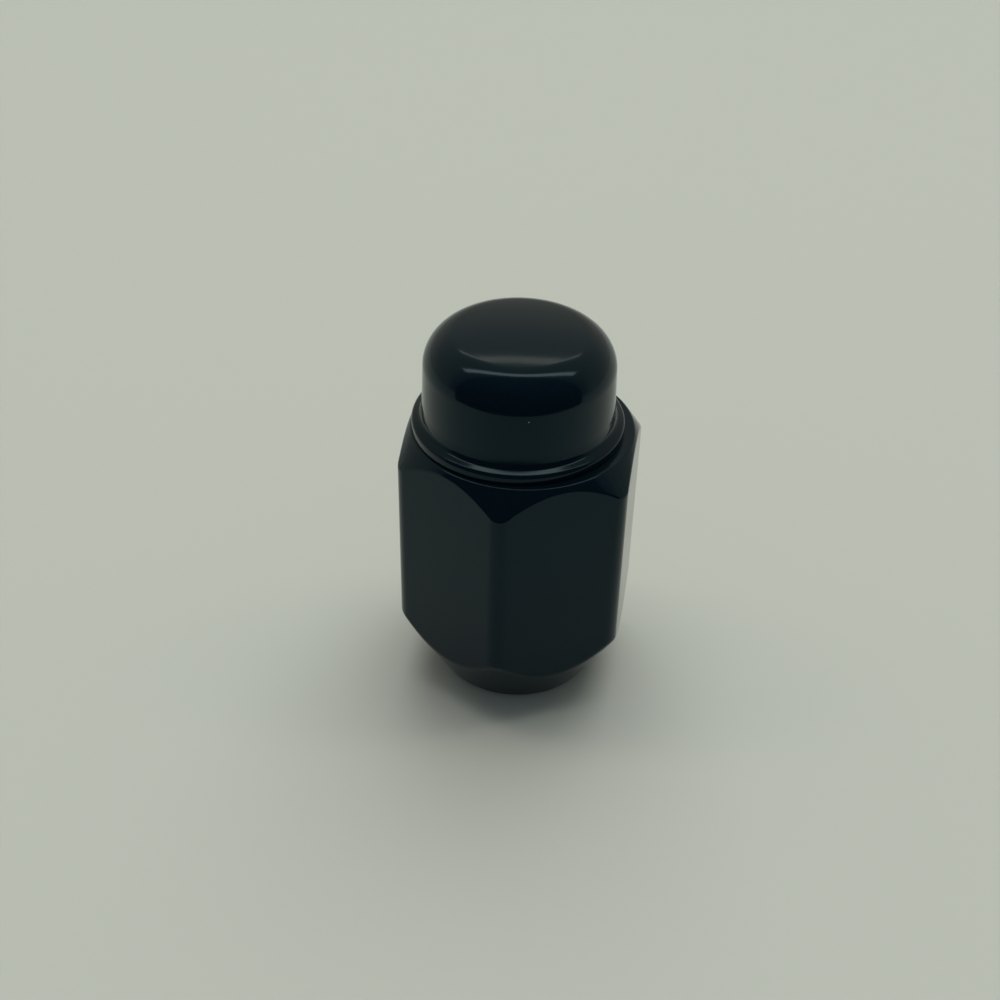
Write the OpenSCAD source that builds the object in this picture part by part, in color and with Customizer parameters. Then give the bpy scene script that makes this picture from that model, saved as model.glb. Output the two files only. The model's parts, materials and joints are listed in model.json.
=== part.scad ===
// Closed-end wheel nut: a forged hexagon nut with a 60 degree conical seat and a tapped
// through-bore, closed by a drawn sheet-steel cap that is welded on by its flange.
// It stands on its seat end, with the thread's axis on Z and two flats facing along X.

/* [Nut body] */
// Wrench size, flat to flat
across_flats = 19; // [17:0.5:23]
// Height of the nut body, seat end to top face
nut_h = 24.6; // [18:0.1:32]
// Radius of the hexagon's rounded corners
corner_r = 1; // [0.2:0.1:2.5]
// How far the top face's edge lies inside the flats
top_land_step = 0.26; // [0.1:0.01:1]
// Steepness of the turned chamfer round the top, from level
top_chamfer_a = 56; // [25:1:65]

/* [Seat and thread] */
// Angle of the conical seat, side to side
seat_a = 60; // [50:1:90]
// Width of the flat ring at the seat end
seat_ring_w = 0.6; // [0.3:0.05:1]
// Outside diameter of the stud's thread
thread_d = 12; // [10:0.5:14]
// Pitch of the thread
thread_pitch = 1.5; // [1:0.25:2]
// How far the mouths of the bore open past the thread, on the radius
mouth_clearance = 0.2; // [0.05:0.05:0.5]

/* [Cap] */
// Height of the cap above the nut body
cap_h = 9; // [7:0.1:14]
// Thickness of the cap's sheet
cap_sheet = 0.95; // [0.6:0.05:1.2]
// Draft of the cap's wall
cap_draft = 1.6; // [0:0.1:6]
// Outer radius of the shoulder between wall and top
shoulder_r = 3; // [1.8:0.05:3.5]
// Radius of the crowned top
crown_r = 40; // [20:1:80]

/* [Cap flange] */
// How far the flange's rim lies inside the edge of the nut's top face
rim_step = 0.44; // [0.4:0.02:0.8]
// Width of the flange, from the cap's wall to the rim
flange_w = 0.83; // [0.6:0.01:1.6]
// Slope of the flange, down from the wall to the rim
flange_a = 10; // [0:1:35]
// Radius of the fillet between flange and wall
flange_fillet_r = 0.48; // [0.1:0.02:1.2]
// Height above the nut at which the rim is widest
rim_z = 0.35; // [0.2:0.05:0.5]
// Radius that rounds the rim above that height
rim_edge_r = 0.5; // [0.05:0.05:0.6]
// Radius that rounds the rim below it
rim_foot_r = 0.3; // [0.05:0.05:0.45]
// Radius of the bend inside the cap's mouth
mouth_bend_r = 0.5; // [0.1:0.05:0.8]
// How far the cap sits off the thread's axis
cap_offset = 0.4; // [0:0.05:0.4]

/* [Hidden] */
$fn = 128;
coating = "#14191b";

// How far a cutter runs past the face that it opens
past = 1;
// How far an arc overlaps the line that it runs into, so that the two cross cleanly
hair = 0.0005;

flat_r = across_flats / 2;
corner_centre_r = (flat_r - corner_r) / cos(30);
// The turned shape is wider than the corners, so that only its two cones touch them
blank_r = corner_centre_r + corner_r + past;
top_land_r = flat_r - top_land_step;

// A metric thread's crests stand 1.0825 pitches inside its outside diameter
bore_r = (thread_d - 1.0825 * thread_pitch) / 2;
mouth_r = thread_d / 2 + mouth_clearance;
seat_end_r = mouth_r + seat_ring_w;
seat_z = (blank_r - seat_end_r) / tan(seat_a / 2);
chamfer_z = nut_h - (blank_r - top_land_r) * tan(top_chamfer_a);

flange_r = top_land_r - rim_step;
cap_wall_r = flange_r - flange_w;
// The rim keeps a narrow upright band below, and its arc leaves the fillet room above
foot_round_r = min(rim_foot_r, 0.9 * rim_z);
flange_normal_a = 90 - flange_a;
arc_room = 0.98 * flange_w / (1 - cos(flange_normal_a));
rim_r = min(rim_edge_r, 0.7 * arc_room);
fillet_r = min(flange_fillet_r, arc_room - rim_r);

// In the cap's section the level z = 0 is the nut's top face
function wall_r(z, inset) = cap_wall_r - (z - cap_sheet) * tan(cap_draft) - inset / cos(cap_draft);

// The shoulder's centre lies where its arc touches both the drafted wall and the crown's arc
crown_z = cap_h - crown_r;
shoulder_reach = crown_r - shoulder_r;
slope = tan(cap_draft);
wall_at_crown = wall_r(crown_z, shoulder_r);
shoulder_rise = (slope * wall_at_crown
    + sqrt((1 + slope * slope) * shoulder_reach * shoulder_reach - wall_at_crown * wall_at_crown))
    / (1 + slope * slope);
shoulder_x = wall_at_crown - slope * shoulder_rise;
shoulder_z = crown_z + shoulder_rise;

function polar(r, a) = [r * cos(a), r * sin(a)];

// The rim's arc ends on the flange's slope, and the fillet's arc touches that slope and the wall
rim_centre = [flange_r - rim_r - hair, rim_z];
slope_reach = rim_centre * polar(1, flange_normal_a) + rim_r + fillet_r;
fillet_wall = wall_r(0, -fillet_r);
fillet_z = (slope_reach - fillet_wall * cos(flange_normal_a))
    / (sin(flange_normal_a) - slope * cos(flange_normal_a));
fillet_centre = [fillet_wall - slope * fillet_z, fillet_z];
mouth_centre = [wall_r(mouth_bend_r, cap_sheet - mouth_bend_r), mouth_bend_r];

// The hexagonal bar: flats that run into rounded corners, with one flat facing +X
module rounded_hexagon() {
    polygon([
        for (corner_a = [30:60:330], side = [-30, 30])
            polar(corner_centre_r, corner_a) + polar(corner_r, corner_a + side)
    ]);
    for (corner_a = [30:60:330])
        translate(polar(corner_centre_r, corner_a))
            circle(r = corner_r);
}

// What the lathe leaves: the conical seat below and the chamfer above
module turned_section() {
    polygon([
        [0, 0],
        [seat_end_r, 0],
        [blank_r, seat_z],
        [blank_r, chamfer_z],
        [top_land_r, nut_h],
        [0, nut_h]
    ]);
}

// A 45 degree countersink that opens downwards at z = 0
module bore_mouth() {
    translate([0, 0, -past])
        cylinder(r1 = mouth_r + past, r2 = bore_r, h = mouth_r - bore_r + past);
}

module nut_body() {
    color(coating)
        difference() {
            intersection() {
                linear_extrude(nut_h) rounded_hexagon();
                rotate_extrude() turned_section();
            }
            translate([0, 0, -past]) cylinder(r = bore_r, h = nut_h + 2 * past);
            bore_mouth();
            translate([0, 0, nut_h]) mirror([0, 0, 1]) bore_mouth();
        }
}

// Everything inside the cap's outer skin, or inside its hollow when inset by the sheet's thickness.
// The wall's foot runs out along an arc round the point foot, until its normal stands at foot_a.
module skin_section(inset, base_z, foot, foot_r, foot_a) {
    foot_end = foot - polar(foot_r, foot_a);
    shoulder = [shoulder_x, shoulder_z];
    arc_r = shoulder_r - inset;
    difference() {
        polygon([
            [0, base_z],
            [foot_end.x, base_z],
            foot_end,
            foot,
            foot - polar(foot_r, cap_draft),
            shoulder + polar(arc_r, cap_draft),
            shoulder,
            [0, shoulder_z]
        ]);
        translate(foot) circle(r = foot_r + hair);
    }
    translate(shoulder) circle(r = arc_r + hair);
    intersection() {
        translate([0, crown_z]) circle(r = crown_r - inset);
        polygon([
            [0, shoulder_z],
            shoulder,
            shoulder + (shoulder_r + past) / shoulder_reach * [shoulder_x, shoulder_rise],
            [0, cap_h + past]
        ]);
    }
}

module flange_section() {
    square([flange_r - foot_round_r, rim_z]);
    translate([0, foot_round_r]) square([flange_r, rim_z - foot_round_r]);
    translate([flange_r - foot_round_r, foot_round_r]) circle(r = foot_round_r);
    intersection() {
        translate(rim_centre) circle(r = rim_r + hair);
        translate([0, rim_z]) square([flange_r + past, past]);
    }
    // The slope runs on a little under the fillet
    top = fillet_centre - polar(fillet_r, flange_normal_a) + polar(0.1 * fillet_r, flange_normal_a + 90);
    polygon([
        [0, rim_z],
        rim_centre,
        rim_centre + polar(rim_r, flange_normal_a),
        top,
        [0, top.y]
    ]);
}

module cap() {
    color(coating)
        translate([-cap_offset, 0, nut_h])
            rotate_extrude()
                difference() {
                    union() {
                        flange_section();
                        skin_section(0, 0, fillet_centre, fillet_r, flange_normal_a);
                    }
                    skin_section(cap_sheet, -past, mouth_centre, mouth_bend_r, 90);
                }
}

nut_body();
cap();
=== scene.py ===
import json
import math

import bmesh
import bpy
from mathutils import Matrix, Vector

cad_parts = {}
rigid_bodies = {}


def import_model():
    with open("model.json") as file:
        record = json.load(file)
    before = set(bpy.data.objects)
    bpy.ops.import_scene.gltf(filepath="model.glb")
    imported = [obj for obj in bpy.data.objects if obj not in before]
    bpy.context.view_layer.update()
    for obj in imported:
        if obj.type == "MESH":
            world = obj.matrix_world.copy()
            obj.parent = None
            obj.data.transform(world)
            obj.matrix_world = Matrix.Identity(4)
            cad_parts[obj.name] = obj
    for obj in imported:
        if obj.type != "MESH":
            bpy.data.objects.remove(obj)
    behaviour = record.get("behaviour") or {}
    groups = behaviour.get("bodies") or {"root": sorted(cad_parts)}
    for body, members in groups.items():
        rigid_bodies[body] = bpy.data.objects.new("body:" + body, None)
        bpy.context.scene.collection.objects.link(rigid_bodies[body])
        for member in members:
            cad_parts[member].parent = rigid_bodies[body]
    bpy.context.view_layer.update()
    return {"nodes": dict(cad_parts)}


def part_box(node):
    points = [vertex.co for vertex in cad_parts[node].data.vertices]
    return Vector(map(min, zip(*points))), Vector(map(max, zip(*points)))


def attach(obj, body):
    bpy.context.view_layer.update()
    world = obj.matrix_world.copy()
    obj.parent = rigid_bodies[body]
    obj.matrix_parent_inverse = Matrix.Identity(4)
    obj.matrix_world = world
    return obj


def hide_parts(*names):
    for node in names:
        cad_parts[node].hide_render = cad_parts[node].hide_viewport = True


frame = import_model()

mm = 0.001
mergeDist = 0.0005 * mm  # vertices closer than this are one
levelSlack = 0.002 * mm
print("frame loaded:", ", ".join(sorted(frame["nodes"])))

nutLow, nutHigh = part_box("nut_body")
capLow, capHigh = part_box("cap")


# Small tools for meshes

def ringEdges(bm, test):
    return [edge for edge in bm.edges if all(test(vert.co) for vert in edge.verts)]


def near(a, b):
    return abs(a - b) < levelSlack


def bevel(bm, geom, offset, segments, affect):
    bmesh.ops.bevel(bm, geom=geom, offset=offset, offset_type="OFFSET", segments=segments, profile=0.5,
                    affect=affect, clamp_overlap=False, material=-1)


def softenRing(bm, test, width, segments):
    bevel(bm, ringEdges(bm, test), width, segments, "EDGES")


def chain(bm, points):
    # vertices at each radius and height, joined in order
    verts = [bm.verts.new((radius, 0, height)) for radius, height in points]
    for first, second in zip(verts, verts[1:]):
        bm.edges.new((first, second))
    return verts


def extrudeEdges(bm, edges):
    made = bmesh.ops.extrude_edge_only(bm, edges=edges)["geom"]
    return {part for part in made if isinstance(part, bmesh.types.BMVert)}


def closeShell(bm):
    bmesh.ops.remove_doubles(bm, verts=bm.verts[:], dist=mergeDist)
    bmesh.ops.recalc_face_normals(bm, faces=bm.faces[:])


def toObject(bm, name):
    mesh = bpy.data.meshes.new(name)
    bm.to_mesh(mesh)
    bm.free()
    made = bpy.data.objects.new(name, mesh)
    bpy.context.scene.collection.objects.link(made)
    return made


def subtract(piece, cutter):
    cut = piece.modifiers.new("cut", "BOOLEAN")
    cut.operation = "DIFFERENCE"
    cut.solver = "EXACT"
    cut.object = cutter
    depsgraph = bpy.context.evaluated_depsgraph_get()
    cutMesh = bpy.data.meshes.new_from_object(piece.evaluated_get(depsgraph))
    cutMesh.name = piece.name
    piece.modifiers.clear()
    piece.data = cutMesh
    bpy.data.objects.remove(cutter)


def smoothFaces(piece, sharpDeg):
    piece.data.shade_smooth()
    piece.data.set_sharp_from_angle(angle=math.radians(sharpDeg))
    weighted = piece.modifiers.new("flat faces stay flat", "WEIGHTED_NORMAL")
    weighted.mode = "FACE_AREA"
    weighted.weight = 100
    weighted.keep_sharp = True


# Nut body: a forged hexagon, turned to a seat below and a chamfer above, then tapped

nut = {
    "flatRadius": (nutHigh.x - nutLow.x) / 2,
    "height": nutHigh.z,
    "cornerRound": 1.4 * mm,
    "cornerSegments": 8,
    "flatCuts": 59,
    "topLandStep": 0.26 * mm,
    "topChamferDeg": 56,
    "seatDeg": 60,
    "seatRing": 0.6 * mm,
    "mouthClearance": 0.2 * mm,
    "threadRadius": 6.0 * mm,
    "threadPitch": 1.5 * mm,
    "threadDepth": 0.54127,  # in pitches
    "threadFlankDeg": 30,
    "threadSteps": 72,
    "seatEndSoft": 0.4 * mm,
    "seatEdgeSoft": 0.3 * mm,
    "chamferEdgeSoft": 0.16 * mm,
    "topEdgeSoft": 0.12 * mm,
    "softSegments": 4,
    "topEdgeSegments": 3,
    "sharpDeg": 28,
}
hexHalf = math.radians(30)  # half of the angle between two corners
topLand = nut["flatRadius"] - nut["topLandStep"]
mouthRadius = nut["threadRadius"] + nut["mouthClearance"]
seatEnd = mouthRadius + nut["seatRing"]


def seatHeight(radius):
    return (radius - seatEnd) / math.tan(math.radians(nut["seatDeg"] / 2))


def chamferHeight(radius):
    return nut["height"] - (radius - topLand) * math.tan(math.radians(nut["topChamferDeg"]))


def placeRing(ring, radius, height):
    # each vertex keeps its direction, and its own radius where none is given
    for vert in {vert for edge in ring for vert in edge.verts}:
        own = vert.co.xy.length
        outward = vert.co.xy / own
        vert.co = (*(outward * (radius or own)), height(own) if callable(height) else height)


def nextRing(bm, ring):
    fresh = extrudeEdges(bm, ring)
    return [edge for edge in bm.edges if all(vert in fresh for vert in edge.verts)]


def forgedHexagon():
    bm = bmesh.new()
    bmesh.ops.create_circle(bm, cap_ends=True, segments=6, radius=nut["flatRadius"] / math.cos(hexHalf))
    bevel(bm, bm.verts[:], nut["cornerRound"] * math.tan(hexHalf), nut["cornerSegments"], "VERTICES")
    flats = [edge for edge in bm.edges if edge.calc_length() > 2 * nut["cornerRound"]]
    bmesh.ops.subdivide_edges(bm, edges=flats, cuts=nut["flatCuts"])
    bmesh.ops.delete(bm, geom=bm.faces[:], context="FACES_ONLY")
    # the bar's outline becomes the seat's upper edge; rings above and below it make the rest
    seatEdge = bm.edges[:]
    chamferEdge = nextRing(bm, seatEdge)
    topEdge = nextRing(bm, chamferEdge)
    endEdge = nextRing(bm, seatEdge)
    placeRing(endEdge, seatEnd, 0)
    placeRing(seatEdge, None, seatHeight)
    placeRing(chamferEdge, None, chamferHeight)
    placeRing(topEdge, topLand, nut["height"])
    for ring in (endEdge, topEdge):
        bmesh.ops.contextual_create(bm, geom=ring)
    closeShell(bm)
    return bm


def threadCutter():
    # one pitch of the thread's outline, wound up the bore as a right-hand screw
    bm = bmesh.new()
    pitch = nut["threadPitch"]
    root = nut["threadRadius"]
    crest = root - nut["threadDepth"] * pitch
    flank = (root - crest) * math.tan(math.radians(nut["threadFlankDeg"]))
    crestFlat, rootFlat = pitch / 4, pitch / 8
    climb = ((crest, 0), (crest, crestFlat), (root, crestFlat + flank), (root, crestFlat + rootFlat + flank),
             (crest, pitch))
    past = 2 * pitch
    chain(bm, [(radius, rise - past) for radius, rise in climb])
    turns = math.ceil((nut["height"] + 2 * past) / pitch)
    steps = nut["threadSteps"]
    bmesh.ops.spin(bm, geom=bm.verts[:] + bm.edges[:], cent=(0, 0, 0), axis=(0, 0, 1),
                   angle=2 * math.pi * turns, dvec=(0, 0, pitch / steps), steps=steps * turns)
    bmesh.ops.remove_doubles(bm, verts=bm.verts[:], dist=mergeDist)
    for level, side in ((-pitch / 2, -1), (nut["height"] + pitch / 2, 1)):
        bmesh.ops.bisect_plane(bm, geom=bm.verts[:] + bm.edges[:] + bm.faces[:], plane_co=(0, 0, level),
                               plane_no=(0, 0, side), clear_outer=True)
        rim = [edge for edge in bm.edges if edge.is_boundary and all(near(v.co.z, level) for v in edge.verts)]
        bmesh.ops.contextual_create(bm, geom=rim)
    closeShell(bm)
    return toObject(bm, "threadCutter")


def mouthCutter(level, side):
    # a 45 degree countersink at one end of the bore
    bm = bmesh.new()
    past = 1 * mm
    reach = mouthRadius + past
    bmesh.ops.create_cone(bm, cap_ends=True, segments=nut["threadSteps"] * 2, radius1=reach, radius2=0,
                          depth=reach)
    centre = Matrix.Translation((0, 0, level + side * (past - reach / 2)))
    turn = Matrix.Rotation(math.pi if side > 0 else 0, 4, "X")
    bmesh.ops.transform(bm, matrix=centre @ turn, verts=bm.verts[:])
    closeShell(bm)
    return toObject(bm, "mouthCutter")


def makeNut():
    bm = forgedHexagon()
    segments = nut["softSegments"]
    outside = topLand + 0.01 * mm
    softenRing(bm, lambda co: near(co.z, 0), nut["seatEndSoft"], segments)
    softenRing(bm, lambda co: near(co.z, seatHeight(co.xy.length)) and co.xy.length > outside,
               nut["seatEdgeSoft"], segments)
    softenRing(bm, lambda co: near(co.z, chamferHeight(co.xy.length)) and co.xy.length > outside,
               nut["chamferEdgeSoft"], segments)
    softenRing(bm, lambda co: near(co.z, nut["height"]), nut["topEdgeSoft"], nut["topEdgeSegments"])
    closeShell(bm)
    piece = toObject(bm, "hexNut")
    subtract(piece, threadCutter())
    subtract(piece, mouthCutter(0, -1))
    subtract(piece, mouthCutter(nut["height"], 1))
    smoothFaces(piece, nut["sharpDeg"])
    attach(piece, "root")
    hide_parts("nut_body")
    return piece


nutPiece = makeNut()
print("nut body:", len(nutPiece.data.polygons), "faces")


# Cap: a drawn sheet with a flange, spun from its section

cap = {
    "centreX": (capLow.x + capHigh.x) / 2,
    "base": capLow.z,
    "top": capHigh.z,
    "flangeRadius": (capHigh.x - capLow.x) / 2,
    "flangeWidth": 0.83 * mm,
    "flangeDeg": 22,
    "sheet": 0.95 * mm,
    "draftDeg": 1.6,
    "shoulder": 3.0 * mm,
    "crown": 40 * mm,
    "crownPoints": 6,
    "flangeFillet": 0.48 * mm,
    "flareHeight": 2.0 * mm,
    "flareDeg": 5,
    "flareRound": 5 * mm,
    "rimHeight": 0.6 * mm,
    "rimEdge": 0.32 * mm,
    "rimFoot": 0.06 * mm,
    "mouthBend": 0.5 * mm,
    "spinSteps": 144,
    "smallArc": 1 * mm,
    "smallArcSegments": 0.16,  # for each degree of turn
    "largeArcSegments": 0.28,
    "sharpDeg": 40,
}


def crownHeight(radius, inset):
    return cap["top"] - cap["crown"] + math.sqrt((cap["crown"] - inset) ** 2 - radius ** 2)


def wallRadius(height, inset):
    draft = math.radians(cap["draftDeg"])
    foot = cap["flangeRadius"] - cap["flangeWidth"]
    return foot - (height - cap["base"] - cap["sheet"]) * math.tan(draft) - inset / math.cos(draft)


def shoulderCentre():
    # the shoulder's arc touches the drafted wall and the crown's arc
    low, high = cap["base"], cap["top"]
    for _ in range(50):
        middle = (low + high) / 2
        radius = wallRadius(middle, cap["shoulder"])
        if middle < crownHeight(radius, cap["shoulder"]):
            low = middle
        else:
            high = middle
    return radius, middle


def flangeCorners():
    # the wall flares a little above the flange, which slopes down to the rounded rim
    slope = math.tan(math.radians(cap["flangeDeg"]))
    flare = math.tan(math.radians(cap["flareDeg"]))
    bend = cap["base"] + cap["flareHeight"]
    bendRadius = wallRadius(bend, 0)
    edge = cap["base"] + cap["rimHeight"] + cap["rimEdge"] * math.tan(math.radians(90 - cap["flangeDeg"]) / 2)
    foot = (edge + (cap["flangeRadius"] - bendRadius - bend * flare) * slope) / (1 - flare * slope)
    return (bendRadius, bend), (bendRadius + (bend - foot) * flare, foot), (cap["flangeRadius"], edge)


def capSection(bm):
    # the corners of the section in order, each with the radius that rounds it
    centreR, centreZ = shoulderCentre()
    rise = centreZ - (cap["top"] - cap["crown"])
    lean = math.atan2(centreR, rise)
    draft = math.radians(cap["draftDeg"])

    def skin(inset):
        arc = cap["shoulder"] - inset
        touch = centreR + arc * math.sin(lean)
        radii = [touch * i / cap["crownPoints"] for i in range(cap["crownPoints"])]
        crown = [(radius, crownHeight(radius, inset), 0) for radius in radii]
        # the crown's tangent and the wall meet in the corner that the shoulder rounds
        reach = arc * math.tan((math.pi / 2 - draft - lean) / 2)
        peak = (touch + reach * math.cos(lean), centreZ + arc * math.cos(lean) - reach * math.sin(lean), arc)
        return crown + [peak]

    bend, foot, edge = flangeCorners()
    corners = [
        *skin(0),
        (*bend, cap["flareRound"]),
        (*foot, cap["flangeFillet"]),
        (*edge, cap["rimEdge"]),
        (cap["flangeRadius"], cap["base"], cap["rimFoot"]),
        (wallRadius(cap["base"], cap["sheet"]), cap["base"], cap["mouthBend"]),
        *reversed(skin(cap["sheet"])),
    ]
    outline = chain(bm, [(radius, height) for radius, height, _ in corners])
    return outline, [rounding for *_, rounding in corners]


def roundCorner(bm, vert, radius):
    before, after = [(edge.other_vert(vert).co - vert.co) for edge in vert.link_edges]
    turn = math.pi - before.angle(after)
    density = cap["largeArcSegments"] if radius > cap["smallArc"] else cap["smallArcSegments"]
    segments = max(4, round(math.degrees(turn) * density))
    bevel(bm, [vert], radius * math.tan(turn / 2), segments, "VERTICES")


def makeCap():
    bm = bmesh.new()
    outline, roundings = capSection(bm)
    for vert, radius in zip(outline, roundings):
        if radius:
            roundCorner(bm, vert, radius)
    bmesh.ops.spin(bm, geom=bm.verts[:] + bm.edges[:], cent=(0, 0, 0), axis=(0, 0, 1), angle=2 * math.pi,
                   steps=cap["spinSteps"], use_merge=True)
    bmesh.ops.translate(bm, vec=(cap["centreX"], 0, 0), verts=bm.verts[:])
    closeShell(bm)
    piece = toObject(bm, "drawnCap")
    smoothFaces(piece, cap["sharpDeg"])
    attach(piece, "root")
    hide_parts("cap")
    return piece


capPiece = makeCap()
print("cap:", len(capPiece.data.polygons), "faces")


# Shader maths: a socket that adds a Math node for each operator

class Wire:
    def __init__(self, tree, socket=None):
        self.tree = tree
        self.socket = socket

    def node(self, kind, settings={}, sockets={}, output=0):
        made = self.tree.nodes.new(kind)
        for name, value in settings.items():
            setattr(made, name, value)
        for name, value in sockets.items():
            if isinstance(value, Wire):
                self.tree.links.new(value.socket, made.inputs[name])
            else:
                made.inputs[name].default_value = value
        return Wire(self.tree, made.outputs[output] if made.outputs else None)

    def calc(self, operation, first, second=0.0):
        return self.node("ShaderNodeMath", {"operation": operation}, {0: first, 1: second})

    def __add__(self, other):
        return self.calc("ADD", self, other)

    __radd__ = __add__

    def __mul__(self, other):
        return self.calc("MULTIPLY", self, other)

    __rmul__ = __mul__

    def band(self, low, high):
        return self.node("ShaderNodeMapRange", {"interpolation_type": "SMOOTHSTEP"},
                         {"Value": self, "From Min": low, "From Max": high})

    def mixColor(self, first, second):
        return self.node("ShaderNodeMix", {"data_type": "RGBA"}, {0: self, 6: first, 7: second}, 2)


# Gloss black coating over steel

coat = {
    "color": (0.0019, 0.0064, 0.0110, 1),
    "glossTint": (0.46, 0.83, 1.0, 1),
    "glossLevel": 0.24,
    "roughness": 0.1,
    "ior": 1.5,
    "smudge": 0.03,
    "smudgeSize": 6 * mm,
    "smudgeBand": (0.45, 0.75),
    "peelSize": 0.7 * mm,
    "peelHeight": 0.0011 * mm,
    "swellSize": 3.2 * mm,
    "swellHeight": 0.004 * mm,
    "speckCell": 1.6 * mm,
    "speckRadius": 0.045,  # in cells
    "speckShare": 0.08,  # of the cells
    "speckColor": (0.30, 0.31, 0.30, 1),
    "speckRoughness": 0.6,
}


def glossBlack():
    material = bpy.data.materials.new("glossBlackCoat")
    material.use_nodes = True
    tree = material.node_tree
    tree.nodes.clear()
    wire = Wire(tree)
    place = wire.node("ShaderNodeTexCoord", output="Object")

    def noise(size, detail):
        return wire.node("ShaderNodeTexNoise", {}, {"Vector": place, "Scale": 1 / size, "Detail": detail})

    # the wet film's fine orange peel, and the sheet's slow swell under it
    peel = noise(coat["peelSize"], 1) * coat["peelHeight"]
    swell = noise(coat["swellSize"], 0) * coat["swellHeight"]
    normal = wire.node("ShaderNodeBump", {}, {"Strength": 1.0, "Distance": 1.0, "Height": peel + swell})
    # a few specks of dust, one in some of the cells
    cells = {"Vector": place, "Scale": 1 / coat["speckCell"]}
    distance = wire.node("ShaderNodeTexVoronoi", {}, cells, "Distance")
    cellColor = wire.node("ShaderNodeTexVoronoi", {}, cells, "Color")
    chance = wire.node("ShaderNodeSeparateColor", {}, {"Color": cellColor})
    speck = distance.calc("LESS_THAN", distance, coat["speckRadius"])
    speck = speck * chance.calc("LESS_THAN", chance, coat["speckShare"])
    # faint wipe marks that dull the gloss a little
    smudge = noise(coat["smudgeSize"], 3).band(*coat["smudgeBand"])
    roughness = smudge * coat["smudge"] + coat["roughness"] + speck * coat["speckRoughness"]
    shader = wire.node("ShaderNodeBsdfPrincipled", {}, {
        "Base Color": speck.mixColor(coat["color"], coat["speckColor"]),
        "Roughness": roughness,
        "IOR": coat["ior"],
        "Specular IOR Level": coat["glossLevel"],
        "Specular Tint": coat["glossTint"],
        "Normal": normal,
    })
    wire.node("ShaderNodeOutputMaterial", {}, {"Surface": shader})
    return material


blackCoat = glossBlack()
for piece in (nutPiece, capPiece):
    piece.data.materials.clear()
    piece.data.materials.append(blackCoat)
print("coating done")


# Camera, as fitted to the photograph

view = {
    "azimuthDeg": 8.885,
    "elevationDeg": 36.814,
    "distance": 125.302 * mm,
    "targetHeight": 17 * mm,
    "focalPixels": 1460.56,
    "framePixels": 1000,
    "targetPixel": (520.146, 496.409),
    "rollDeg": 1.914,
    "sensor": 36,
    "clip": (5 * mm, 20),
}


def viewTurn():
    return Matrix.Rotation(math.radians(view["azimuthDeg"]), 4, "Z")


def turnToView(direction):
    return viewTurn() @ direction


def makeCamera():
    data = bpy.data.cameras.new("camera")
    data.sensor_width = view["sensor"]
    data.lens = view["sensor"] * view["focalPixels"] / view["framePixels"]
    data.clip_start, data.clip_end = view["clip"]
    camera = bpy.data.objects.new("camera", data)
    bpy.context.scene.collection.objects.link(camera)
    elevation = math.radians(view["elevationDeg"])
    back = turnToView(Vector((0, -math.cos(elevation), math.sin(elevation))))
    right, down = ((pixel - view["framePixels"] / 2) / view["focalPixels"] for pixel in view["targetPixel"])
    aim = (-back).to_track_quat("-Z", "Y").to_matrix()
    aim @= Matrix.Rotation(math.atan(right), 3, "Y")
    aim @= Matrix.Rotation(math.atan(down / math.hypot(1, right)), 3, "X")
    aim @= Matrix.Rotation(math.radians(view["rollDeg"]), 3, "Z")
    camera.rotation_mode = "QUATERNION"
    camera.rotation_quaternion = aim.to_quaternion()
    camera.location = Vector((0, 0, view["targetHeight"])) + back * view["distance"]
    bpy.context.scene.camera = camera


# Stage: pale floor, soft lamps, and a dark side where the camera stands

stage = {
    "floorColor": (0.510, 0.560, 0.522, 1),
    "floorRoughness": 0.8,
    "floorRadius": 3.0,
    "plainGloss": 0.2,
    "backColor": (0.40, 0.393, 0.323, 1),
    "frontColor": (0.17, 0.19, 0.21, 1),
    "frontDirection": (0, -0.99, 0.14),
    "frontBand": (-0.05, 0.3),
    "backdrop": (0.47, 0.505, 0.445, 1),
    # painted shade: colour of the dark sheet that shows only in reflections
    "paintedShadeColor": (0.05, 0.085, 0.12, 1),
    "openingNear": 59 * mm,
    "openingBow": 120 * mm,
    "openingBowDeg": 42,
    "openingSteps": 24,
    "openingSide": (0.6, -0.2),
    "openingHeight": 1.2,
    "openingLean": 75 * mm,
    "openingFade": 6 * mm,
}


def plainMaterial(name, color, roughness):
    material = bpy.data.materials.new(name)
    material.use_nodes = True
    shader = material.node_tree.nodes["Principled BSDF"]
    shader.inputs["Base Color"].default_value = color
    shader.inputs["Roughness"].default_value = roughness
    shader.inputs["Specular IOR Level"].default_value = stage["plainGloss"]
    return material


def makeFloor():
    bm = bmesh.new()
    bmesh.ops.create_circle(bm, cap_ends=True, segments=96, radius=stage["floorRadius"])
    floor = toObject(bm, "floor")
    floor.data.materials.append(plainMaterial("paleFloor", stage["floorColor"], stage["floorRoughness"]))


def makeWorld():
    # a light box: pale behind and at the sides, dark where it opens towards the camera
    world = bpy.data.worlds.new("lightBox")
    bpy.context.scene.world = world
    world.use_nodes = True
    tree = world.node_tree
    tree.nodes.clear()
    wire = Wire(tree)
    direction = wire.node("ShaderNodeTexCoord", output="Generated")
    towards = wire.node("ShaderNodeVectorMath", {"operation": "DOT_PRODUCT"},
                        {0: direction, 1: turnToView(Vector(stage["frontDirection"]))}, "Value")
    box = towards.band(*stage["frontBand"]).mixColor(stage["backColor"], stage["frontColor"])
    camera = wire.node("ShaderNodeLightPath", output="Is Camera Ray")
    light = wire.node("ShaderNodeBackground", {}, {"Color": camera.mixColor(box, stage["backdrop"])})
    wire.node("ShaderNodeOutputWorld", {}, {"Surface": light})


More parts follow.
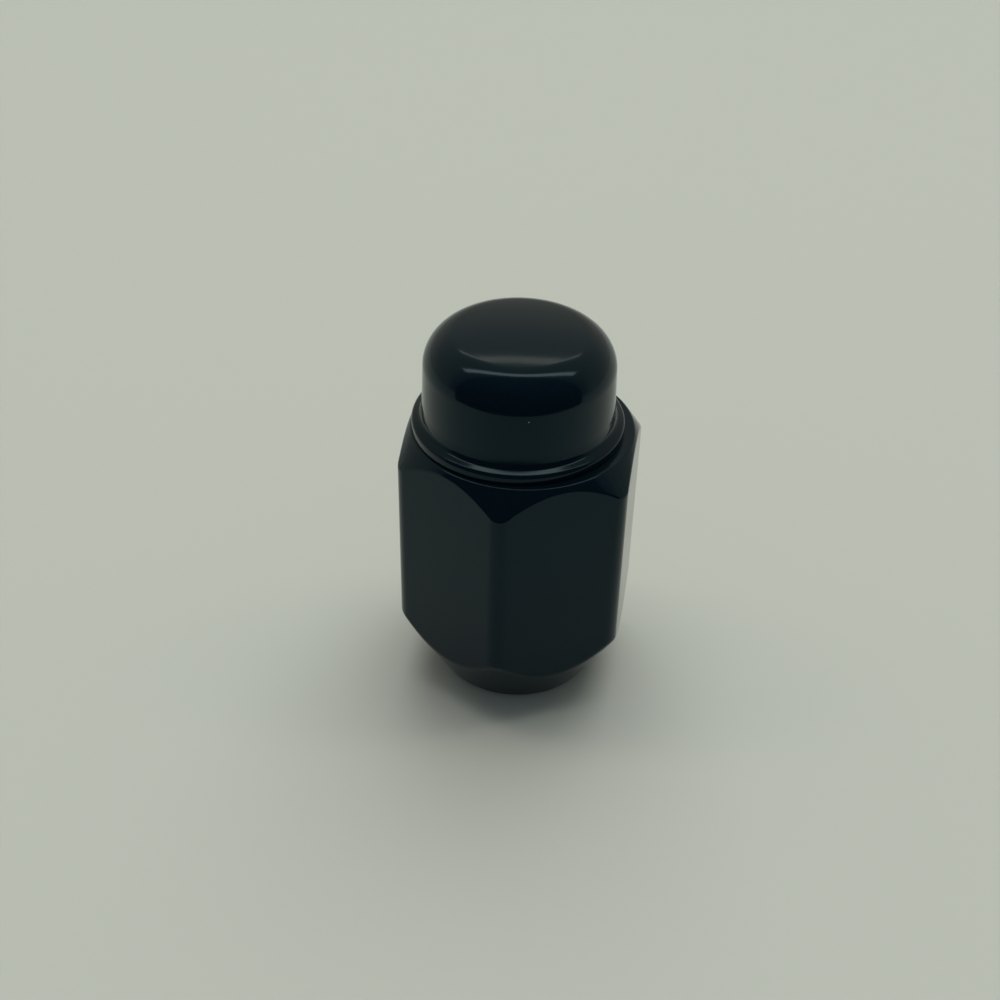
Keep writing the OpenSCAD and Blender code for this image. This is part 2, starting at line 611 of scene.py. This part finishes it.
def makePaintedShade():
    # painted shade: a dark sheet, bowed in plan, seen in the gloss alone; it stands for the shadowed floor in
    # front and the dark side towards the camera
    bm = bmesh.new()
    bow = math.radians(stage["openingBowDeg"])
    foot = bm.verts.new((0, -stage["openingNear"], 0))
    head = bm.verts.new((0, stage["openingLean"] - stage["openingNear"], stage["openingHeight"]))
    bm.edges.new((foot, head))
    centre = (0, stage["openingBow"] - stage["openingNear"], 0)
    bmesh.ops.rotate(bm, cent=centre, matrix=Matrix.Rotation(-bow, 3, "Z"), verts=bm.verts[:])
    bmesh.ops.spin(bm, geom=bm.verts[:] + bm.edges[:], cent=centre, axis=(0, 0, 1), angle=2 * bow,
                   steps=stage["openingSteps"])
    # the two upright ends run on to the sides
    tall = stage["openingHeight"] / 2
    side, depth = stage["openingSide"]
    for post in [edge for edge in bm.edges if edge.is_boundary and edge.calc_length() > tall]:
        for vert in extrudeEdges(bm, [post]):
            vert.co.xy = (math.copysign(side, vert.co.x), depth)
    bmesh.ops.transform(bm, matrix=viewTurn(), verts=bm.verts[:])
    shadeSheet = toObject(bm, "paintedShadeSheet")
    # painted shade: this dark colour is what the gloss reflects on the camera side
    dark = plainMaterial("paintedShadeGloss", stage["paintedShadeColor"], 1.0)
    wire = Wire(dark.node_tree)
    place = wire.node("ShaderNodeTexCoord", output="Object")
    height = wire.node("ShaderNodeSeparateXYZ", {}, {"Vector": place}, "Z")
    # the painted shade fades in over its lowest few millimetres
    fade = height.band(0, stage["openingFade"])
    dark.node_tree.links.new(fade.socket, dark.node_tree.nodes["Principled BSDF"].inputs["Alpha"])
    shadeSheet.data.materials.append(dark)
    shadeSheet.visible_camera = False
    shadeSheet.visible_diffuse = False
    shadeSheet.visible_shadow = False


lamps = {
    "keyLamp": {"elevationDeg": 115, "aside": 0.08, "distance": 3.0, "length": 3.0, "width": 3.9,
                "radiance": 1.75, "color": (1, 1, 1), "inGloss": False},
    "roofStrip": {"elevationDeg": 97.5, "aside": 0, "distance": 0.6, "length": 1.05, "width": 0.09,
                  "radiance": 3.9, "color": (1, 0.8, 0.68), "inGloss": True},
    "backStrip": {"elevationDeg": 135, "aside": 0, "distance": 0.7, "length": 0.48, "width": 0.04,
                  "radiance": 1.9, "color": (1, 0.83, 0.67), "inGloss": True},
}


def softLamp(name, elevationDeg, aside, distance, length, width, radiance, color, inGloss):
    # elevation is measured from the camera's side, over the top and down behind
    data = bpy.data.lights.new(name, "AREA")
    data.shape = "RECTANGLE"
    data.size, data.size_y = length, width
    data.energy = radiance * math.pi * length * width
    data.color = color
    lamp = bpy.data.objects.new(name, data)
    bpy.context.scene.collection.objects.link(lamp)
    angle = math.radians(elevationDeg)
    outward = turnToView(Vector((aside, -math.cos(angle), math.sin(angle))).normalized())
    lamp.location = Vector((0, 0, cap["top"])) + outward * distance
    lamp.rotation_mode = "QUATERNION"
    lamp.rotation_quaternion = outward.to_track_quat("Z", "Y")
    lamp.visible_glossy = inGloss


makeCamera()
makeFloor()
makeWorld()
makePaintedShade()
for name, lamp in lamps.items():
    softLamp(name, **lamp)
bpy.context.scene.view_settings.view_transform = "Standard"
print("stage done")
